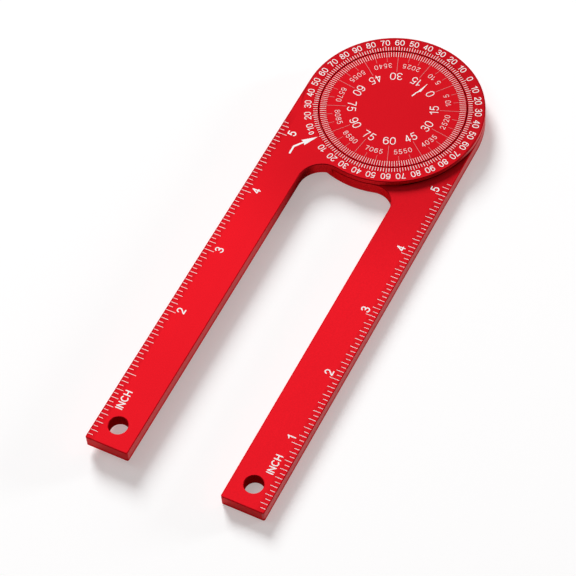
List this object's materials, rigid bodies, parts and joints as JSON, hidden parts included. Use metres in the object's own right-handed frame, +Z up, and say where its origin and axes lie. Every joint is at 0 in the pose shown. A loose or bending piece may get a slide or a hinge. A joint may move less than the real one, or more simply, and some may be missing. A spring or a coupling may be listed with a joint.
{
  "type": "angle finder with arms",
  "caption": "Flat angle finder: a dial hub carries a fixed arm with a straight edge, and a ring with a second arm turns round the dial.",
  "frame": {"origin": "pivot centre on the underside, where the rear cover's flush face lies", "axes": "+Z up through the dial along the pivot, +Y from the arms' tips towards the hub, +X towards the base arm"},
  "size_m": [0.06, 0.1812, 0.0065],
  "materials": {
    "red_anodised": "fine satin red anodising",
    "plated_steel": "bright zinc plate",
    "spring_steel": "rolled spring steel",
    "white_nylon": "smooth nylon sheet",
    "white_marking": "flat white print of the scales and numbers"
  },
  "bodies": {
    "base": {"base_arm": "red_anodised", "dial_disc": "red_anodised", "rear_cover": "red_anodised", "wave_washer": "spring_steel", "glide_ring": "white_nylon", "cover_screw_1": "plated_steel", "cover_screw_2": "plated_steel", "cover_screw_3": "plated_steel", "cover_screw_4": "plated_steel", "dial_dowel_1": "plated_steel", "dial_dowel_2": "plated_steel"},
    "swing": {"ring_arm": "red_anodised"}
  },
  "joints": [
    {"name": "arm_pivot", "type": "hinge", "parent": "base", "child": "swing", "pos_m": [0, 0, 0.0045], "axis": [0, 0, -1], "range_deg": [-11.5, 195]}
  ]
}
